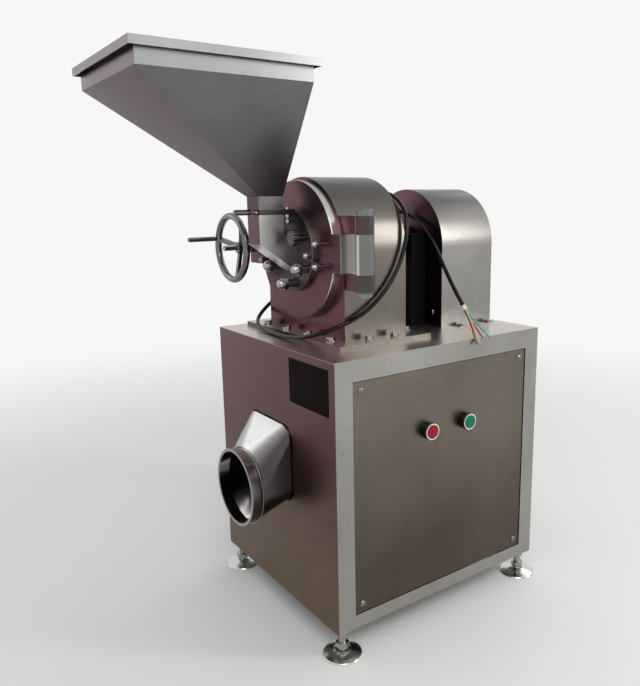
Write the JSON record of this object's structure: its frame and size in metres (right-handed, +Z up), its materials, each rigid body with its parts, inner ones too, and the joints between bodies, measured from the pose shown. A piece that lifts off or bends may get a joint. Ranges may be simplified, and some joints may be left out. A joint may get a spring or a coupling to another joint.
{
  "type": "powder mill",
  "caption": "Stainless powder mill: a toothed-disc grinding chamber with a swinging door, hopper and handwheel clamp, belt driven from a cabinet on levelling feet",
  "frame": {"origin": "centre of the object's box at floor level, under the four feet", "axes": "+Z up, the door, hopper and powder outlet facing -Y, the button panel facing +X"},
  "size_m": [0.68, 1.0979, 1.4335],
  "materials": {
    "sheet_steel": "brushed",
    "machined_steel": "satin",
    "bright_steel": "polished",
    "chrome": "polished",
    "iron": "matte",
    "motor_paint": "satin",
    "plate": "satin",
    "rubber": "matte",
    "cable": "satin",
    "gland": "satin",
    "cores": "gloss",
    "brass": "satin",
    "red": "gloss",
    "green": "gloss"
  },
  "bodies": {
    "cabinet": {"cabinet_posts": "sheet_steel", "cabinet_rails": "sheet_steel", "cabinet_top": "sheet_steel", "front_panel": "sheet_steel", "left_panel": "sheet_steel", "rear_panel": "sheet_steel", "right_panel": "sheet_steel", "sheet_screws": "bright_steel", "foot_discs": "bright_steel", "foot_studs": "bright_steel", "rating_plate": "plate", "button_holders": "chrome", "mill_base_plate": "machined_steel", "base_bolts": "bright_steel", "mill_housing": "machined_steel", "screen_ring": "machined_steel", "bearing_housing": "iron", "bearing_outer_races": "bright_steel", "bearing_support": "machined_steel", "grease_nipple": "brass", "v_belts": "rubber", "motor_body": "motor_paint", "motor_cowl": "motor_paint", "motor_bed": "sheet_steel", "belt_cover": "sheet_steel", "discharge_chute": "sheet_steel", "outlet_duct": "sheet_steel", "outlet_ring": "sheet_steel", "hinge_brackets": "machined_steel", "hinge_pin": "bright_steel", "clamp_lug": "machined_steel", "cable_gland": "gland", "power_cable": "cable", "cable_cores": "cores"},
    "mill_rotor": {"main_shaft": "bright_steel", "bearing_inner_races": "bright_steel", "rotor": "machined_steel", "rotor_nut": "bright_steel", "mill_pulley": "iron"},
    "motor_rotor": {"motor_shaft": "bright_steel", "motor_pulley": "iron"},
    "door": {"door_plate": "machined_steel", "door_knuckle": "machined_steel", "door_flange": "machined_steel", "fixed_disc": "machined_steel", "door_nuts": "bright_steel", "feed_chute": "sheet_steel", "gate_frame": "sheet_steel", "gate_bolts": "bright_steel", "hopper": "sheet_steel", "hopper_rim": "sheet_steel"},
    "gate": {"gate_blade": "sheet_steel", "gate_grip": "chrome"},
    "sleeve": {"clamp_sleeve": "bright_steel"},
    "wheel": {"handwheel": "chrome", "clamp_spindle": "bright_steel"},
    "crank": {"crank_grip": "chrome"},
    "star": {"star_knob": "bright_steel"},
    "stop": {"stop_button": "red"},
    "start": {"start_button": "green"}
  },
  "joints": [
    {"name": "door_hinge", "type": "hinge", "parent": "cabinet", "child": "door", "pos_m": [0.243, -0.031, 0.988], "axis": [0, 0, 1], "range_deg": [0, 110]},
    {"name": "mill_spin", "type": "hinge", "parent": "cabinet", "child": "mill_rotor", "pos_m": [-0.015, 0.188, 0.988], "axis": [0, 1, 0], "continuous": true},
    {"name": "motor_spin", "type": "hinge", "parent": "cabinet", "child": "motor_rotor", "pos_m": [-0.015, 0.188, 0.278], "axis": [0, 1, 0], "continuous": true},
    {"name": "gate_slide", "type": "slide", "parent": "door", "child": "gate", "axis": [0, -1, 0], "range_m": [0, 0.062]},
    {"name": "clamp_draw", "type": "slide", "parent": "door", "child": "sleeve", "axis": [0, -1, 0], "range_m": [0, 0.02]},
    {"name": "handwheel_turn", "type": "hinge", "parent": "sleeve", "child": "wheel", "pos_m": [-0.24, -0.112, 0.988], "axis": [0, -1, 0], "range_deg": [0, 1800]},
    {"name": "crank_grip_spin", "type": "hinge", "parent": "wheel", "child": "crank", "pos_m": [-0.32693, -0.202, 1.01129], "axis": [0, 1, 0], "continuous": true},
    {"name": "star_knob_turn", "type": "hinge", "parent": "door", "child": "star", "pos_m": [0.06294, -0.102, 1.02435], "axis": [0, -1, 0], "range_deg": [-90, 90]},
    {"name": "stop_press", "type": "slide", "parent": "cabinet", "child": "stop", "axis": [-1, 0, 0], "range_m": [0, 0.004], "stiffness_N_per_m": 600, "springref_m": -0.002},
    {"name": "start_press", "type": "slide", "parent": "cabinet", "child": "start", "axis": [-1, 0, 0], "range_m": [0, 0.004], "stiffness_N_per_m": 600, "springref_m": -0.002}
  ],
  "couplings": [
    {"joint": "mill_spin", "follows": "motor_spin", "ratio": 1.3167},
    {"joint": "clamp_draw", "follows": "handwheel_turn", "m_per_rad": 0.0006366}
  ]
}
